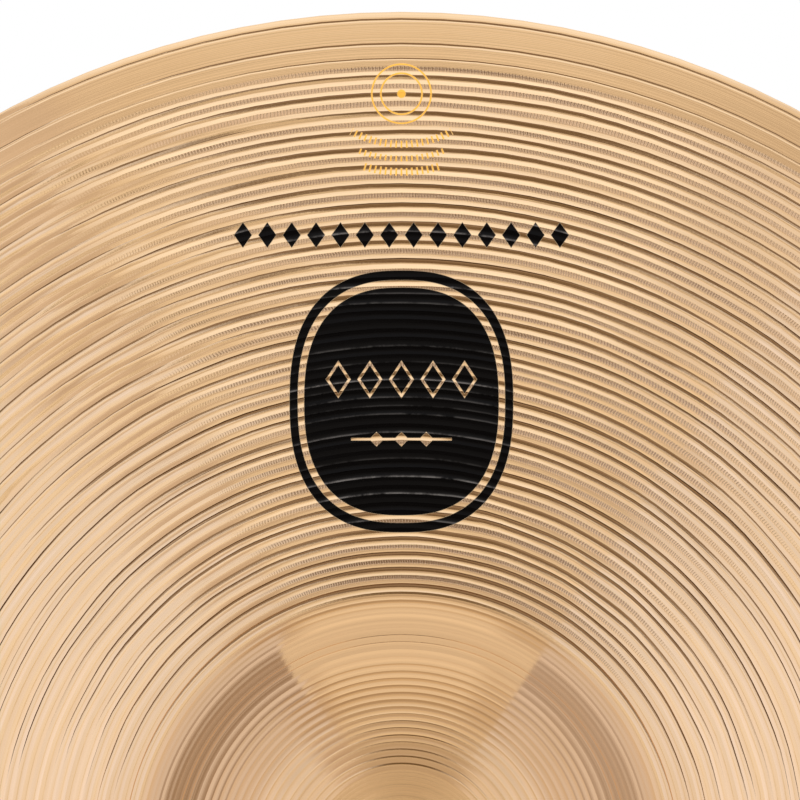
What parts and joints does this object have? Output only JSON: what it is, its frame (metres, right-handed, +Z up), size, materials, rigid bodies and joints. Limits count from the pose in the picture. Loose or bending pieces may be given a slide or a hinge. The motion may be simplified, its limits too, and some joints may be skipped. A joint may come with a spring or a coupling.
{
  "type": "hand cymbals",
  "caption": "Matched pair of lathed bronze hand cymbals with raised bells, face to face, each with a leather hand strap knotted through its centre hole.",
  "frame": {"origin": "on the common axis of the two plates, midway between their rims", "axes": "+Y along the plates' axis, out of the back cymbal's bell; +Z up; the straps hang down"},
  "size_m": [0.3556, 0.1836, 0.3556],
  "materials": {
    "bronze": "lathed cymbal bronze, polished between the grooves",
    "leather": "oiled brown strap leather"
  },
  "bodies": {
    "front_plate": {"front_cymbal": "bronze"},
    "front_strap": {"front_strap_throat": "leather", "front_knot_lash_1": "leather", "front_knot_lash_2": "leather", "front_knot_lash_3": "leather", "front_knot_lash_4": "leather"},
    "front_grip": {"front_strap_loop": "leather"},
    "back_plate": {"back_cymbal": "bronze"},
    "back_strap": {"back_strap_throat": "leather", "back_knot_lash_1": "leather", "back_knot_lash_2": "leather", "back_knot_lash_3": "leather", "back_knot_lash_4": "leather"},
    "back_grip": {"back_strap_loop": "leather"}
  },
  "joints": [
    {"name": "pair_opening", "type": "slide", "parent": "front_plate", "child": "back_plate", "axis": [0, 1, 0], "range_m": [0, 0.3]},
    {"name": "front_strap_swivel", "type": "hinge", "parent": "front_plate", "child": "front_strap", "pos_m": [0, -0.03329, 0], "axis": [0, -1, 0], "continuous": true},
    {"name": "front_strap_fold", "type": "hinge", "parent": "front_strap", "child": "front_grip", "pos_m": [0, -0.03769, 0], "axis": [-1, 0, 0], "range_deg": [0, 150]},
    {"name": "back_strap_swivel", "type": "hinge", "parent": "back_plate", "child": "back_strap", "pos_m": [0, 0.03329, 0], "axis": [0, 1, 0], "continuous": true},
    {"name": "back_strap_fold", "type": "hinge", "parent": "back_strap", "child": "back_grip", "pos_m": [0, 0.03769, 0], "axis": [1, 0, 0], "range_deg": [0, 150]}
  ]
}
